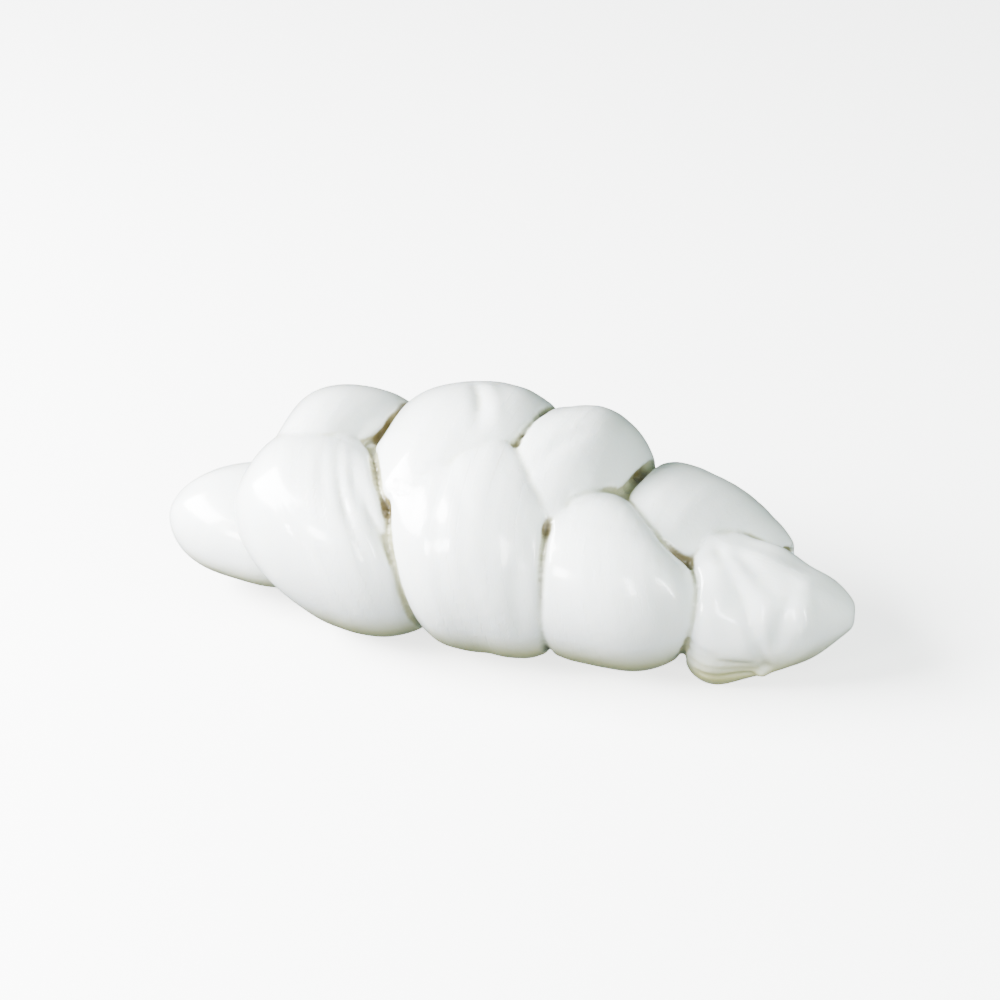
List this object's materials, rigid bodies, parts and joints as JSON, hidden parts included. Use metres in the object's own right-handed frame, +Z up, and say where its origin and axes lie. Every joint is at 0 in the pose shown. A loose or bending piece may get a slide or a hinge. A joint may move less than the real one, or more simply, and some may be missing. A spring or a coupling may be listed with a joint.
{
  "type": "mozzarella braid",
  "caption": "Plaited mozzarella cheese, a glossy white braid with plump soft lobes, a rounded tail and a pinched-off end.",
  "frame": {"origin": "centre of the bounding box's underside, on the surface the braid rests on", "axes": "+X along the braid from its rounded tail to its pinched-off end, +Z up, -Y the side that shows most"},
  "size_m": [0.1982, 0.0832, 0.0673],
  "materials": {
    "cheese": "satin"
  },
  "bodies": {
    "root": {"braid": "cheese"}
  },
  "joints": []
}
